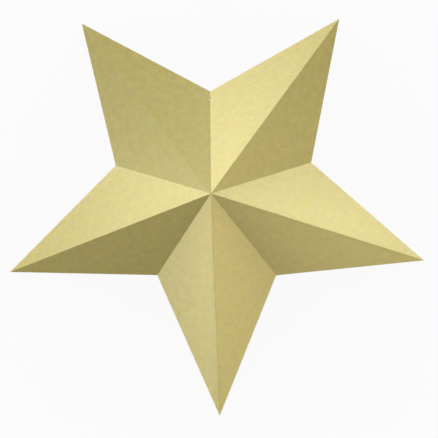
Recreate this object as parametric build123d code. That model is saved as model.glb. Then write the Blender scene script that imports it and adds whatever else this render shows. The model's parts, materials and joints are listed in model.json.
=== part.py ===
from build123d import *
import os
from math import atan2, cos, radians, sin, sqrt, tan

# A five-pointed star, cut and folded from one sheet of card. Ten creases meet at its centre: a
# mountain fold runs out to each tip, and a valley fold to each notch. Folded, it stands up as a
# shallow hollow star that rests on its rim, with the centre uppermost.
# The sheet isn't stretched anywhere, so the slope of each valley follows from the two ridges
# beside it and from the angle between the creases on the flat card.

# Driving dimensions, in millimetres and degrees

CARD_THICKNESS = 0.4
CENTRE_HEIGHT = 50.0
RIDGE_FOLD_RADIUS = 0.8
VALLEY_FOLD_RADIUS = 0.8
BLUNT_POINT_DEPTH = 0.2
THREAD_HOLE_DIAMETER = 1.5
THREAD_HOLE_FROM_NOTCH = 6.7

# The star is folded by hand, so its arms differ a little. The arms are listed clockwise, seen
# from above, from the upper right one.
FIRST_ARM_HEADING = 54.0
# How far each tip reaches from the centre, seen from above
TIP_REACH = (139.0, 140.0, 141.5, 142.0, 141.5)
# How far each ridge is turned anticlockwise from even spacing, seen from above
RIDGE_TURN = (-0.4, -0.6, -0.2, 0.9, 0.4)
# How far each arm's next valley crease, on the flat card, is turned from midway towards the arm
# after it
VALLEY_TURN = (-0.2, -0.4, 1.4, 0.8, -1.0)

# Values worked out from them

ARM_COUNT = len(TIP_REACH)
ARM_SPACING = 360.0 / ARM_COUNT
CREASE_SPACING = ARM_SPACING / 2
# The outer cone of the sheet runs this far below the rim, the inner one twice as far, and both
# are trimmed there
TRIM_ALLOWANCE = 4 * CARD_THICKNESS
CUTTER_SIZE = 4 * max(TIP_REACH)

APEX = Vector(0, 0, CENTRE_HEIGHT)


# The creases, as unit vectors that run down from the centre


def ridge_ray(arm):
    heading = radians(FIRST_ARM_HEADING - ARM_SPACING * arm + RIDGE_TURN[arm])
    reach = TIP_REACH[arm]
    return Vector(reach * cos(heading), reach * sin(heading), -CENTRE_HEIGHT).normalized()


def valley_ray(ridge, next_ridge, turn):
    """The lower of the two rays at the card's own angles from both ridges."""
    cos_first = cos(radians(CREASE_SPACING + turn))
    cos_second = cos(radians(CREASE_SPACING - turn))
    cos_between = ridge.dot(next_ridge)
    share_first = (cos_first - cos_between * cos_second) / (1 - cos_between**2)
    share_second = (cos_second - cos_between * cos_first) / (1 - cos_between**2)
    in_plane = ridge * share_first + next_ridge * share_second
    out_of_plane = next_ridge.cross(ridge).normalized()
    return in_plane - out_of_plane * sqrt(1 - in_plane.length**2)


def crease_rays():
    """All ten creases in order: each ridge, then the valley after it."""
    ridges = [ridge_ray(arm) for arm in range(ARM_COUNT)]
    rays = []
    for arm, ridge in enumerate(ridges):
        next_ridge = ridges[(arm + 1) % ARM_COUNT]
        rays += [ridge, valley_ray(ridge, next_ridge, VALLEY_TURN[arm])]
    return rays


RAYS = crease_rays()


def facet_normal(facet):
    """Outward normal of the flat facet between a crease and the next one."""
    return RAYS[(facet + 1) % len(RAYS)].cross(RAYS[facet]).normalized()


NORMALS = [facet_normal(facet) for facet in range(len(RAYS))]


# Points on the creases


def point_below(ray, depth):
    """Where a crease on the outside of the star is a given depth below the centre."""
    return APEX + ray * (depth / -ray.Z)


def inner_point_below(crease, depth):
    """The same crease on the inside of the sheet, where both inner facet planes meet."""
    before, after = NORMALS[crease - 1], NORMALS[crease]
    # Each inner plane is one card thickness behind its facet
    offset_before = -CARD_THICKNESS + before.Z * depth
    offset_after = -CARD_THICKNESS + after.Z * depth
    det = before.X * after.Y - before.Y * after.X
    x = (offset_before * after.Y - offset_after * before.Y) / det
    y = (before.X * offset_after - after.X * offset_before) / det
    return APEX + Vector(x, y, -depth)


def inner_apex():
    mean_rise = sum(normal.Z for normal in NORMALS) / len(NORMALS)
    return APEX - Vector(0, 0, CARD_THICKNESS / mean_rise)


# The sheet


def plan_radius(fold_radius, plan_angle, slope):
    """Radius in a level section that rounds a sloping fold as deep as its own radius does."""
    plan_half_angle = plan_angle / 2
    fold_half_angle = atan2(tan(plan_half_angle), sin(slope))
    depth_in_plan = 1 / sin(plan_half_angle) - 1
    depth_in_fold = 1 / sin(fold_half_angle) - 1
    return fold_radius * depth_in_fold / (depth_in_plan * sin(slope))


def cone(corners, fold_radii, tip):
    """Flat facets and rounded folds that all run to one point, closed by a level base.

    The folds open in proportion to the distance from the point, and they have their full
    radius at the base.
    """
    radii = []
    for crease, fold_radius in enumerate(fold_radii):
        corner = corners[crease]
        to_before = corners[crease - 1] - corner
        to_after = corners[(crease + 1) % len(corners)] - corner
        run = corner - tip
        slope = atan2(-run.Z, sqrt(run.X**2 + run.Y**2))
        radii.append(plan_radius(fold_radius, radians(to_before.get_angle(to_after)), slope))
    outline = FilletPolyline(*corners, radius=radii, close=True)
    return loft([make_face(outline), Vertex(*tip)], ruled=True)


def outer_cone():
    depth = CENTRE_HEIGHT + TRIM_ALLOWANCE
    corners = [point_below(ray, depth) for ray in RAYS]
    return cone(corners, [RIDGE_FOLD_RADIUS, VALLEY_FOLD_RADIUS] * ARM_COUNT, APEX)


def inner_cone():
    """The hollow under the sheet. The inside of a ridge is tighter, and of a valley wider."""
    depth = CENTRE_HEIGHT + 2 * TRIM_ALLOWANCE
    corners = [inner_point_below(crease, depth) for crease in range(len(RAYS))]
    ridge_radius = max(RIDGE_FOLD_RADIUS - CARD_THICKNESS, 0)
    valley_radius = VALLEY_FOLD_RADIUS + CARD_THICKNESS
    return cone(corners, [ridge_radius, valley_radius] * ARM_COUNT, inner_apex())


def half_space(point, direction):
    """Everything beyond a plane, as a large block."""
    block = Box(CUTTER_SIZE, CUTTER_SIZE, CUTTER_SIZE, align=(Align.CENTER, Align.CENTER, Align.MIN))
    return Plane(origin=point, z_dir=direction) * block


def beyond_edge(facet):
    """What is cut away past a facet's rim. The cut is square to the card."""
    start = point_below(RAYS[facet], CENTRE_HEIGHT)
    end = point_below(RAYS[(facet + 1) % len(RAYS)], CENTRE_HEIGHT)
    outward = NORMALS[facet].cross(end - start).normalized()
    return half_space(start, outward)


def cut_rim(sheet):
    """Cuts both edges of every notch, which leaves the tips pointed."""
    for valley in range(1, len(RAYS), 2):
        sheet -= beyond_edge(valley - 1) & beyond_edge(valley)
    return sheet


def thread_hole():
    """A small hole pierced square through the last valley fold, near its notch."""
    notch = point_below(RAYS[-1], CENTRE_HEIGHT)
    centre = notch - RAYS[-1] * THREAD_HOLE_FROM_NOTCH
    direction = (NORMALS[-2] + NORMALS[-1]).normalized()
    cutter_length = 2 * (CARD_THICKNESS + VALLEY_FOLD_RADIUS + THREAD_HOLE_DIAMETER)
    cutter = Cylinder(THREAD_HOLE_DIAMETER / 2, cutter_length)
    return Plane(origin=centre, z_dir=direction) * cutter


def star_sheet():
    sheet = cut_rim(outer_cone() - inner_cone())
    # The point where the creases meet is slightly worn down
    sheet -= half_space(APEX - Vector(0, 0, BLUNT_POINT_DEPTH), Vector(0, 0, 1))
    sheet -= thread_hole()
    return sheet


# The origin is at the middle of the underside of the star's box

star = star_sheet()
box = star.bounding_box()
base_centre = Vector(box.center().X, box.center().Y, box.min.Z)

os.makedirs("parts", exist_ok=True)
export_step(star.moved(Location(-base_centre)), "parts/star_sheet.step")
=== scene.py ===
import json
import math

import bmesh
import bpy
from bpy.props import FloatProperty, FloatVectorProperty, IntProperty, PointerProperty
from bpy.types import Operator, Panel, PropertyGroup
from mathutils import Matrix, Vector
from mathutils.geometry import intersect_line_plane, intersect_plane_plane


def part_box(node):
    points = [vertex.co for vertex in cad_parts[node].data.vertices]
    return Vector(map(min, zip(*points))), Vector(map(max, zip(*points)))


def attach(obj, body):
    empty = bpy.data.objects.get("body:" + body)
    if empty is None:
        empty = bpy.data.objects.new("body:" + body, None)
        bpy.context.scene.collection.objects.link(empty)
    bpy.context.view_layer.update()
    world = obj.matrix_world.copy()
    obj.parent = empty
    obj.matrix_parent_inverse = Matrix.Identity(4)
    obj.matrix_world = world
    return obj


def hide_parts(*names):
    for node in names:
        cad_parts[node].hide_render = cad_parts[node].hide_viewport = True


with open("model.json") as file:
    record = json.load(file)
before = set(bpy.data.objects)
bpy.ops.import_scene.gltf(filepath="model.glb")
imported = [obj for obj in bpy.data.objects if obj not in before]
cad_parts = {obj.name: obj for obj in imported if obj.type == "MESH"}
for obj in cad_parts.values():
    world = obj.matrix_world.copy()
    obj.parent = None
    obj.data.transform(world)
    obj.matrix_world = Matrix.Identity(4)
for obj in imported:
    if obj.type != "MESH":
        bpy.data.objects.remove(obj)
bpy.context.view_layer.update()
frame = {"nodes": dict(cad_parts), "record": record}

bl_info = {
    "name": "Folded card star",
    "version": (1, 0, 0),
    "blender": (4, 5, 0),
    "location": "View3D > Sidebar > Card star",
    "description": "A five-pointed star folded from one sheet of pearl card, with its studio",
    "category": "Add Mesh",
}

MM = 0.001
ARM_COUNT = 5
FACET_COUNT = 2 * ARM_COUNT
CARD_NODE = "star_sheet"

# Material slots of the card, after the outside's
INSIDE, CUT_EDGE = 1, 2

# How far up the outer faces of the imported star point, at least
OUTER_RISE = 0.5
# How closely the faces of one facet agree in direction
SAME_FACET = 0.9999
# How far past a crease a place may be and still count as on it, as a share of the facet
ON_CREASE = 1e-5
# Facets that meet at more than this angle meet at a sharp edge
SHARP_ANGLE = math.radians(35)
HOLE_SIDES = 24
# Length of the hole's cutter, in thicknesses of the card
CUTTER_LENGTH = 10

# How the pearl coating's colour shifts from place to place
WARM_TINT = (1.02, 1.0, 0.88)
COOL_TINT = (0.98, 1.0, 1.12)
# The noise values that stand for none and all of a patch, and how finely a patch is broken up
PATCH_RANGE = (0.3, 0.7)
PATCH_DETAIL = 4.0
# The coating is this much smoother and rougher from patch to patch
ROUGHNESS_SPREAD = 0.03
# The tooth is a little drawn out along the grain of the card
TOOTH_SIZE = 1.0 * MM
TOOTH_STRETCH = 1.3
TOOTH_DETAIL = 3.0
# How bright the reverse is against the outside
REVERSE_SHADE = 0.95

# The fibres in the cut edge, and how bright the darkest of them are
FIBRE_SIZE = 0.15 * MM
FIBRE_DETAIL = 3.0
FIBRE_HEIGHT = 0.05 * MM
FIBRE_RELIEF = 0.3
FIBRE_SHADE = 0.85
CORE_ROUGHNESS = 0.85

FLOOR_ROUGHNESS = 0.9

DAYLIGHT = (0.97, 1.0, 1.04)
WARM_LIGHT = (1.07, 1.02, 0.88)

# The soft lamps stand low in a ring round the star: the heading of each, seen from above in
# degrees, its power in watts and its colour
LAMPS = (
    (36, 4.4, DAYLIGHT),
    (54, 2.4, DAYLIGHT),
    (108, 2.6, DAYLIGHT),
    (126, 4.0, DAYLIGHT),
    (144, 2.4, DAYLIGHT),
    (198, 3.4, DAYLIGHT),
    (216, 2.5, DAYLIGHT),
    (288, 2.25, WARM_LIGHT),
    (324, 1.7, WARM_LIGHT),
    (342, 1.55, WARM_LIGHT),
)


def record_mount(name):
    """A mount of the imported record, by its name."""
    for mount in frame["record"]["mounts"]:
        if mount["name"] == name:
            return mount
    raise RuntimeError(f"the record has no mount {name}")


HOLE_MOUNT = record_mount("thread_hole")


class CardSettings(PropertyGroup):
    thickness: FloatProperty(
        name="Thickness",
        description="Thickness of the card",
        default=0.4 * MM,
        unit="LENGTH",
    )
    crease_width: FloatProperty(
        name="Crease width",
        description="How far the rounding of each fold reaches to each side of it",
        default=0.08 * MM,
        unit="LENGTH",
    )
    crease_segments: IntProperty(
        name="Crease segments",
        description="How many strips round each fold",
        default=4,
    )
    facet_cuts: IntProperty(
        name="Facet cuts",
        description="How many times each side of a facet is cut",
        default=23,
    )
    hole_diameter: FloatProperty(
        name="Thread hole",
        description="Diameter of the hole for the hanging thread",
        default=2 * HOLE_MOUNT["dims"]["r_mm"] * MM,
        unit="LENGTH",
    )
    colour: FloatVectorProperty(
        name="Card colour",
        description="Colour of the pearl coating",
        subtype="COLOR",
        default=(0.428, 0.352, 0.097),
    )
    core_colour: FloatVectorProperty(
        name="Core colour",
        description="Colour of the uncoated paper in the cut edge",
        subtype="COLOR",
        default=(0.62, 0.54, 0.32),
    )
    pearl: FloatProperty(
        name="Pearl",
        description="Share of the coating that shines like metal",
        subtype="FACTOR",
        default=0.2,
    )
    roughness: FloatProperty(
        name="Roughness",
        description="Roughness of the pearl coating",
        subtype="FACTOR",
        default=0.33,
    )
    coating_ior: FloatProperty(
        name="Coating IOR",
        description="Refractive index of the pearl coating",
        default=1.5,
    )
    mottle: FloatProperty(
        name="Mottle",
        description="How much lighter and darker the patches of the coating are",
        subtype="FACTOR",
        default=0.065,
    )
    mottle_size: FloatProperty(
        name="Mottle size",
        description="Width of the patches of the coating",
        default=5.0 * MM,
        unit="LENGTH",
    )
    tint_size: FloatProperty(
        name="Tint size",
        description="Width of the warmer and cooler places of the coating",
        default=7.0 * MM,
        unit="LENGTH",
    )
    flecks: FloatProperty(
        name="Flecks",
        description="How much lighter and darker the fine flecks of the coating are",
        subtype="FACTOR",
        default=0.11,
    )
    fleck_size: FloatProperty(
        name="Fleck size",
        description="Width of the fine flecks of the coating",
        default=1.0 * MM,
        unit="LENGTH",
    )
    tooth: FloatProperty(
        name="Tooth",
        description="Height of the card's fine grain",
        default=0.09 * MM,
        unit="LENGTH",
    )
    fold_wear: FloatProperty(
        name="Fold wear",
        description="How far the coating is rubbed off along the folds",
        subtype="FACTOR",
        default=0.3,
    )


class StageSettings(PropertyGroup):
    floor_size: FloatProperty(
        name="Floor size",
        description="Length of each side of the floor",
        default=12.0,
        unit="LENGTH",
    )
    floor_colour: FloatVectorProperty(
        name="Floor colour",
        description="Colour of the floor",
        subtype="COLOR",
        default=(0.9, 0.9, 0.9),
    )
    floor_white: FloatProperty(
        name="Floor white",
        description="Share of plain white in the floor that is seen, over its light and shadow",
        subtype="FACTOR",
        default=0.93,
    )
    floor_fade: FloatVectorProperty(
        name="Floor fade",
        description="Distances from the star between which the floor turns plain white",
        size=2,
        unit="LENGTH",
        default=(0.12, 0.6),
    )
    lamp_distance: FloatProperty(
        name="Lamp distance",
        description="From the star to the middle of each lamp",
        default=1.1,
        unit="LENGTH",
    )
    lamp_rise: FloatProperty(
        name="Lamp rise",
        description="How high each lamp stands, as an angle above the floor",
        subtype="ANGLE",
        default=math.radians(15),
    )
    lamp_size: FloatProperty(
        name="Lamp size",
        description="Length of each side of a lamp",
        default=0.5,
        unit="LENGTH",
    )
    camera_place: FloatVectorProperty(
        name="Camera place",
        description="Where the camera is, nearly straight above the star",
        subtype="TRANSLATION",
        unit="LENGTH",
        default=(0.0504, -0.0151, 0.9655),
    )
    camera_turn: FloatVectorProperty(
        name="Camera turn",
        description="How the camera is turned from looking straight down",
        subtype="EULER",
        default=(math.radians(0.756), math.radians(2.838), math.radians(-1.363)),
    )
    lens: FloatProperty(
        name="Lens",
        description="Focal length of the camera",
        default=123.3,
        unit="CAMERA",
    )


# The star's shape, from the frame


def heading(direction):
    return math.atan2(direction.y, direction.x)


def total_area(faces):
    return sum(face.area for face in faces)


def middle_of(faces):
    return sum((face.center * face.area for face in faces), Vector()) / total_area(faces)


def outer_facets(node):
    """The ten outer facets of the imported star, clockwise, each as a list of its faces."""
    facets = []
    for face in node.data.polygons:
        if face.normal.z < OUTER_RISE:
            continue
        for facet in facets:
            if face.normal.dot(facet[0].normal) > SAME_FACET:
                facet.append(face)
                break
        else:
            facets.append([face])
    facets.sort(key=total_area, reverse=True)
    facets = facets[:FACET_COUNT]
    middle = sum((middle_of(facet) for facet in facets), Vector()) / FACET_COUNT
    return sorted(facets, key=lambda facet: -heading(middle_of(facet) - middle))


def star_shape(node):
    """The centre point and the ten outer corners, clockwise, where the creases meet the rim."""
    facets = outer_facets(node)
    planes = [(facet[0].center.copy(), facet[0].normal.copy()) for facet in facets]
    used = {index for facet in facets for face in facet for index in face.vertices}
    rim = Vector((0, 0, min(node.data.vertices[index].co.z for index in used)))
    up = Vector((0, 0, 1))
    creases = [intersect_plane_plane(*planes[i - 1], *planes[i]) for i in range(FACET_COUNT)]
    # The first crease ends where it meets the facet across from it
    point, run = creases[0]
    centre = intersect_line_plane(point, point + run, *planes[ARM_COUNT])
    corners = [intersect_line_plane(point, point + run, rim, up) for point, run in creases]
    return centre, corners


# Helpers for meshes and nodes


def new_object(name, bm):
    """Puts a finished bmesh into the scene as an object, and frees it."""
    mesh = bpy.data.meshes.new(name)
    bm.to_mesh(mesh)
    bm.free()
    piece = bpy.data.objects.new(name, mesh)
    bpy.context.scene.collection.objects.link(piece)
    return piece


def new_material(name):
    """A material whose nodes are only its Principled shader and its output."""
    material = bpy.data.materials.new(name)
    material.use_nodes = True
    return material, material.node_tree, material.node_tree.nodes["Principled BSDF"]


def add_node(tree, kind, **settings):
    node = tree.nodes.new(kind)
    for name, value in settings.items():
        setattr(node, name, value)
    return node


def sheet_place(tree):
    """Places on the flat sheet, in metres, so that the grain runs on across the folds."""
    uv = add_node(tree, "ShaderNodeUVMap", uv_map="flat_sheet")
    return uv.outputs["UV"]


def noise(tree, place, size, detail, stretch=1.0):
    """Noise whose lumps are about this size in metres, drawn out along the sheet's grain."""
    mapping = add_node(tree, "ShaderNodeMapping")
    mapping.inputs["Scale"].default_value = (1 / size / stretch, 1 / size, 1 / size)
    tree.links.new(place, mapping.inputs["Vector"])
    texture = add_node(tree, "ShaderNodeTexNoise")
    texture.inputs["Scale"].default_value = 1.0
    texture.inputs["Detail"].default_value = detail
    tree.links.new(mapping.outputs["Vector"], texture.inputs["Vector"])
    return texture.outputs["Fac"]


def spread(tree, value, low, high, new_low, new_high):
    """Maps a value from one range to another."""
    node = add_node(tree, "ShaderNodeMapRange")
    node.inputs["From Min"].default_value = low
    node.inputs["From Max"].default_value = high
    node.inputs["To Min"].default_value = new_low
    node.inputs["To Max"].default_value = new_high
    tree.links.new(value, node.inputs["Value"])
    return node.outputs["Result"]


def add_mixer(tree, blend_type):
    """A new node for two colours, as its factor, its two colour inputs and its result."""
    node = add_node(tree, "ShaderNodeMix", data_type="RGBA", blend_type=blend_type)
    inputs = {socket.identifier: socket for socket in node.inputs}
    outputs = {socket.identifier: socket for socket in node.outputs}
    return inputs["Factor_Float"], inputs["A_Color"], inputs["B_Color"], outputs["Result_Color"]


def blend_colour(tree, factor, first, second):
    """Mixes two colours, each a socket or a value."""
    share, first_input, second_input, result = add_mixer(tree, "MIX")
    tree.links.new(factor, share)
    for colour, socket in ((first, first_input), (second, second_input)):
        if isinstance(colour, bpy.types.NodeSocket):
            tree.links.new(colour, socket)
        else:
            socket.default_value = (*colour, 1)
    return result


def multiply_colour(tree, first, second):
    share, first_input, second_input, result = add_mixer(tree, "MULTIPLY")
    share.default_value = 1.0
    tree.links.new(first, first_input)
    tree.links.new(second, second_input)
    return result


def bump(tree, shader, height, strength, distance):
    node = add_node(tree, "ShaderNodeBump")
    node.inputs["Strength"].default_value = strength
    node.inputs["Distance"].default_value = distance
    tree.links.new(height, node.inputs["Height"])
    tree.links.new(node.outputs["Normal"], shader.inputs["Normal"])


# The card's materials


def patches(tree, place, size):
    """Soft patches about this size in metres, from none to one."""
    lumps = noise(tree, place, size, PATCH_DETAIL)
    return spread(tree, lumps, *PATCH_RANGE, 0.0, 1.0)


def tinted(colour, tint):
    return tuple(channel * part for channel, part in zip(colour, tint))


def shaded(colour, shade):
    return tuple(channel * shade for channel in colour)


def toned(tree, colour, factor, share):
    """Makes a colour darker and lighter by up to this share, as the factor says."""
    tones = blend_colour(tree, factor, (1 - share,) * 3, (1 + share,) * 3)
    return multiply_colour(tree, colour, tones)


def pearl_card(settings, name, shade):
    """Pearl card: mottled in tone and tint, with fine flecks, a slight tooth and rubbed folds."""
    material, tree, shader = new_material(name)
    place = sheet_place(tree)
    colour = shaded(settings.colour, shade)
    warm, cool = tinted(colour, WARM_TINT), tinted(colour, COOL_TINT)
    mottle = patches(tree, place, settings.mottle_size)
    card = blend_colour(tree, patches(tree, place, settings.tint_size), warm, cool)
    card = toned(tree, card, mottle, settings.mottle)
    card = toned(tree, card, patches(tree, place, settings.fleck_size), settings.flecks)
    wear = add_node(tree, "ShaderNodeAttribute", attribute_name="fold_wear")
    rubbed = spread(tree, wear.outputs["Fac"], 0.0, 1.0, 0.0, settings.fold_wear)
    card = blend_colour(tree, rubbed, card, settings.core_colour)
    tree.links.new(card, shader.inputs["Base Color"])
    shader.inputs["Metallic"].default_value = settings.pearl
    shader.inputs["IOR"].default_value = settings.coating_ior
    smoothest = settings.roughness - ROUGHNESS_SPREAD
    roughest = settings.roughness + ROUGHNESS_SPREAD
    rough = spread(tree, mottle, 0.0, 1.0, smoothest, roughest)
    tree.links.new(rough, shader.inputs["Roughness"])
    tooth = noise(tree, place, TOOTH_SIZE, TOOTH_DETAIL, stretch=TOOTH_STRETCH)
    bump(tree, shader, tooth, 1.0, settings.tooth)
    return material


def card_core(settings):
    """Uncoated paper, as the cut edge shows it: layers of fibres, without shine."""
    material, tree, shader = new_material("card_core")
    coordinates = add_node(tree, "ShaderNodeTexCoord")
    fibres = noise(tree, coordinates.outputs["Object"], FIBRE_SIZE, FIBRE_DETAIL)
    dark = shaded(settings.core_colour, FIBRE_SHADE)
    core = blend_colour(tree, fibres, dark, settings.core_colour)
    tree.links.new(core, shader.inputs["Base Color"])
    shader.inputs["Roughness"].default_value = CORE_ROUGHNESS
    bump(tree, shader, fibres, FIBRE_RELIEF, FIBRE_HEIGHT)
    return material


# The card's shape


def turned(length, angle):
    """A level vector of this length, at this heading."""
    return Vector((length * math.cos(angle), length * math.sin(angle), 0))


def flat_layout(centre, corners):
    """The corners on the flat sheet, round a centre at the origin, clockwise."""
    runs = [corner - centre for corner in corners]
    angle = heading(runs[0])
    layout = []
    for index, run in enumerate(runs):
        layout.append(turned(run.length, angle))
        angle -= run.angle(runs[(index + 1) % FACET_COUNT])
    return layout


def flat_card(bm, layout, cuts):
    """Cuts the flat star, keeps its flat places as a UV map and marks its creases."""
    bmesh.ops.create_circle(bm, segments=FACET_COUNT, radius=1.0, cap_ends=True, cap_tris=True)
    bm.verts.ensure_lookup_table()
    middle = min(bm.verts, key=lambda v: v.co.length)
    middle.co = Vector()
    rim = sorted((v for v in bm.verts if v is not middle), key=lambda v: -heading(v.co))
    for vert, place in zip(rim, layout):
        vert.co = place
    for edge in middle.link_edges:
        edge.seam = True
    uv = bm.loops.layers.uv.new("flat_sheet")
    for face in bm.faces:
        for loop in face.loops:
            loop[uv].uv = loop.vert.co.xy
    bmesh.ops.recalc_face_normals(bm, faces=bm.faces)
    if next(iter(bm.faces)).normal.z < 0:
        bmesh.ops.reverse_faces(bm, faces=bm.faces)
    bmesh.ops.subdivide_edges(bm, edges=bm.edges, cuts=cuts, use_grid_fill=True)


def crossed(first, second):
    """Twice the area between two flat places, positive where the second lies clockwise."""
    return first.y * second.x - first.x * second.y


def place_in_facet(flat, layout):
    """The two creases beside a flat place, and the share of each that leads to it."""
    for first in range(FACET_COUNT):
        second = (first + 1) % FACET_COUNT
        whole = crossed(layout[first], layout[second])
        along_first = crossed(flat, layout[second]) / whole
        along_second = crossed(layout[first], flat) / whole
        if min(along_first, along_second) > -ON_CREASE:
            return first, second, along_first, along_second
    raise RuntimeError("a place on the flat card is in none of its facets")


def fold(bm, layout, centre, corners):
    """Folds the flat card. Each facet keeps its shape and turns to its place between creases."""
    for vert in bm.verts:
        first, second, along_first, along_second = place_in_facet(vert.co, layout)
        run = (corners[first] - centre) * along_first + (corners[second] - centre) * along_second
        vert.co = centre + run


def round_creases(bm, settings):
    """Rounds the folds and marks the middle of each rounded strip as worn."""
    rounded = bmesh.ops.bevel(
        bm,
        geom=[edge for edge in bm.edges if edge.seam],
        offset=settings.crease_width,
        segments=settings.crease_segments,
        profile=0.5,
        affect="EDGES",
        material=-1,
    )
    wear = bm.verts.layers.float.new("fold_wear")
    strips = set(rounded["faces"])
    for vert in {vert for face in strips for vert in face.verts}:
        if strips.issuperset(vert.link_faces):
            vert[wear] = 1.0


def blunt_centre(bm, height):
    """Wears the point where the creases meet down to a small flat at this height."""
    whole = bm.verts[:] + bm.edges[:] + bm.faces[:]
    cut = bmesh.ops.bisect_plane(
        bm, geom=whole, plane_co=(0, 0, height), plane_no=(0, 0, 1), clear_outer=True
    )
    rim = [item for item in cut["geom_cut"] if isinstance(item, bmesh.types.BMEdge)]
    uv = bm.loops.layers.uv["flat_sheet"]
    cap = bmesh.ops.edgeloop_fill(bm, edges=rim)["faces"][0]
    # The flat goes on with the sheet's own places beside it
    for loop in cap.loops:
        beside = next(other for other in loop.vert.link_loops if other.face is not cap)
        loop[uv].uv = beside[uv].uv


def build_card(settings):
    centre, corners = star_shape(frame["nodes"][CARD_NODE])
    layout = flat_layout(centre, corners)
    bm = bmesh.new()
    flat_card(bm, layout, settings.facet_cuts)
    fold(bm, layout, centre, corners)
    round_creases(bm, settings)
    blunt_centre(bm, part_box(CARD_NODE)[1].z)
    for face in bm.faces:
        face.smooth = True
    return new_object("folded_star_card", bm)


def give_thickness(card, settings):
    solidify = card.modifiers.new("thickness", "SOLIDIFY")
    solidify.thickness = settings.thickness
    solidify.offset = -1.0
    solidify.use_even_offset = True
    solidify.material_offset = INSIDE
    solidify.material_offset_rim = CUT_EDGE


def hole_cutter(settings, material):
    """A round bar through the card, where the record has the hole."""
    place, axis = Vector(HOLE_MOUNT["pos_m"]), Vector(HOLE_MOUNT["axis"])
    bm = bmesh.new()
    radius = settings.hole_diameter / 2
    length = CUTTER_LENGTH * settings.thickness
    bmesh.ops.create_cone(
        bm, segments=HOLE_SIDES, radius1=radius, radius2=radius, depth=length, cap_ends=True
    )
    bm.transform(Matrix.Translation(place) @ axis.to_track_quat("Z", "Y").to_matrix().to_4x4())
    cutter = new_object("hole_cutter", bm)
    cutter.data.materials.append(material)
    return cutter


def pierce(card, cutter):
    boolean = card.modifiers.new("thread_hole", "BOOLEAN")
    boolean.operation = "DIFFERENCE"
    boolean.solver = "EXACT"
    boolean.material_mode = "TRANSFER"
    boolean.object = cutter


def apply_modifiers(card):
    """Makes the card's thickness and its hole part of its mesh."""
    depsgraph = bpy.context.evaluated_depsgraph_get()
    finished = bpy.data.meshes.new_from_object(card.evaluated_get(depsgraph))
    card.modifiers.clear()
    card.data = finished


class CARDSTAR_OT_card(Operator):
    """Cut, crease and fold the star from one sheet of pearl card"""

    bl_idname = "cardstar.card"
    bl_label = "Fold the card star"
    bl_options = {"REGISTER", "UNDO"}

    def execute(self, context):
        settings = context.scene.card_star
        card = build_card(settings)
        core = card_core(settings)
        card.data.materials.append(pearl_card(settings, "pearl_card", 1.0))
        card.data.materials.append(pearl_card(settings, "pearl_card_reverse", REVERSE_SHADE))
        card.data.materials.append(core)
        give_thickness(card, settings)
        cutter = hole_cutter(settings, core)
        pierce(card, cutter)
        apply_modifiers(card)
        bpy.data.objects.remove(cutter)
        card.data.set_sharp_from_angle(angle=SHARP_ANGLE)
        normals = card.modifiers.new("flat_facets", "WEIGHTED_NORMAL")
        normals.keep_sharp = True
        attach(card, "root")
        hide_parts(CARD_NODE)
        return {"FINISHED"}


# The stage


def seen_directly(tree):
    """One for what the camera sees, also in a mirror or through glass, and otherwise nothing."""
    path = add_node(tree, "ShaderNodeLightPath")
    seen = path.outputs["Is Camera Ray"]
    for ray in ("Is Glossy Ray", "Is Transmission Ray"):
        either = add_node(tree, "ShaderNodeMath", operation="MAXIMUM")
        tree.links.new(seen, either.inputs[0])
        tree.links.new(path.outputs[ray], either.inputs[1])
        seen = either.outputs["Value"]
    return seen


def distance_out(tree):
    """Distance from the middle of the floor, in metres."""
    coordinates = add_node(tree, "ShaderNodeTexCoord")
    length = add_node(tree, "ShaderNodeVectorMath", operation="LENGTH")
    tree.links.new(coordinates.outputs["Object"], length.inputs[0])
    return length.outputs["Value"]


def white_floor(settings):
    """A matt white floor. Part of what is seen of it is plain white, and far out all of it."""
    material, tree, shader = new_material("white_floor")
    shader.inputs["Base Color"].default_value = (*settings.floor_colour, 1)
    shader.inputs["Roughness"].default_value = FLOOR_ROUGHNESS
    shader.inputs["Specular IOR Level"].default_value = 0.0
    white = add_node(tree, "ShaderNodeEmission")
    white.inputs["Strength"].default_value = 1.0
    near, far = settings.floor_fade
    share = spread(tree, distance_out(tree), near, far, settings.floor_white, 1.0)
    seen_share = add_node(tree, "ShaderNodeMath", operation="MULTIPLY")
    tree.links.new(share, seen_share.inputs[0])
    tree.links.new(seen_directly(tree), seen_share.inputs[1])
    mix = add_node(tree, "ShaderNodeMixShader")
    tree.links.new(seen_share.outputs["Value"], mix.inputs["Fac"])
    tree.links.new(shader.outputs["BSDF"], mix.inputs[1])
    tree.links.new(white.outputs["Emission"], mix.inputs[2])
    tree.links.new(mix.outputs["Shader"], tree.nodes["Material Output"].inputs["Surface"])
    return material


def add_floor(settings):
    bm = bmesh.new()
    bmesh.ops.create_grid(bm, x_segments=1, y_segments=1, size=settings.floor_size / 2)
    floor = new_object("floor", bm)
    floor.data.materials.append(white_floor(settings))


def add_lamp(settings, compass, power, colour):
    name = f"lamp_{compass}"
    data = bpy.data.lights.new(name, "AREA")
    data.shape = "SQUARE"
    data.size = settings.lamp_size
    data.energy = power
    data.color = colour
    lamp = bpy.data.objects.new(name, data)
    bpy.context.scene.collection.objects.link(lamp)
    direction = turned(math.cos(settings.lamp_rise), math.radians(compass))
    direction.z = math.sin(settings.lamp_rise)
    lamp.location = direction * settings.lamp_distance
    lamp.rotation_euler = direction.to_track_quat("Z", "Y").to_euler()
    lamp.visible_camera = False


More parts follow.
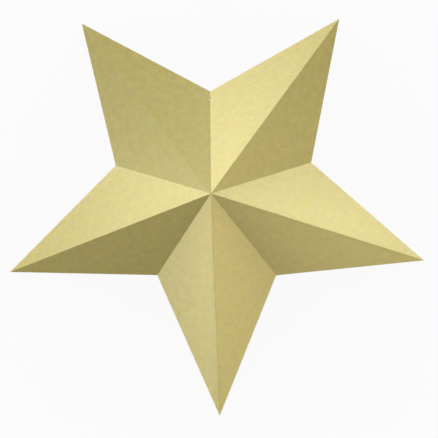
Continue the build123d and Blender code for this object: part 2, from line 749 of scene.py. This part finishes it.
def add_camera(settings):
    data = bpy.data.cameras.new("camera")
    data.lens = settings.lens
    camera = bpy.data.objects.new("camera", data)
    bpy.context.scene.collection.objects.link(camera)
    camera.location = settings.camera_place
    camera.rotation_euler = settings.camera_turn
    bpy.context.scene.camera = camera


def set_world():
    """A white surround that is seen and mirrored, and lights nothing."""
    world = bpy.data.worlds.new("surround")
    bpy.context.scene.world = world
    world.use_nodes = True
    tree = world.node_tree
    background = tree.nodes["Background"]
    background.inputs["Color"].default_value = (1, 1, 1, 1)
    tree.links.new(seen_directly(tree), background.inputs["Strength"])


class CARDSTAR_OT_stage(Operator):
    """Lay the pale floor and set the lamps and the camera"""

    bl_idname = "cardstar.stage"
    bl_label = "Set the stage"
    bl_options = {"REGISTER", "UNDO"}

    def execute(self, context):
        settings = context.scene.card_star_stage
        add_floor(settings)
        set_world()
        for lamp in LAMPS:
            add_lamp(settings, *lamp)
        add_camera(settings)
        context.scene.view_settings.view_transform = "Standard"
        return {"FINISHED"}


class CARDSTAR_PT_panel(Panel):
    """Lists the star's card and its stage"""

    bl_label = "Card star"
    bl_idname = "CARDSTAR_PT_panel"
    bl_space_type = "VIEW_3D"
    bl_region_type = "UI"
    bl_category = "Card star"

    def draw(self, context):
        groups = (
            (context.scene.card_star, CARDSTAR_OT_card),
            (context.scene.card_star_stage, CARDSTAR_OT_stage),
        )
        for settings, operator in groups:
            box = self.layout.box()
            for name in settings.__annotations__:
                box.prop(settings, name)
            box.operator(operator.bl_idname)


CLASSES = (CardSettings, StageSettings, CARDSTAR_OT_card, CARDSTAR_OT_stage, CARDSTAR_PT_panel)


def register():
    for item in CLASSES:
        bpy.utils.register_class(item)
    bpy.types.Scene.card_star = PointerProperty(type=CardSettings)
    bpy.types.Scene.card_star_stage = PointerProperty(type=StageSettings)


def unregister():
    del bpy.types.Scene.card_star_stage
    del bpy.types.Scene.card_star
    for item in reversed(CLASSES):
        bpy.utils.unregister_class(item)


def main():
    register()
    bpy.ops.cardstar.card()
    bpy.ops.cardstar.stage()


if __name__ == "__main__":
    main()
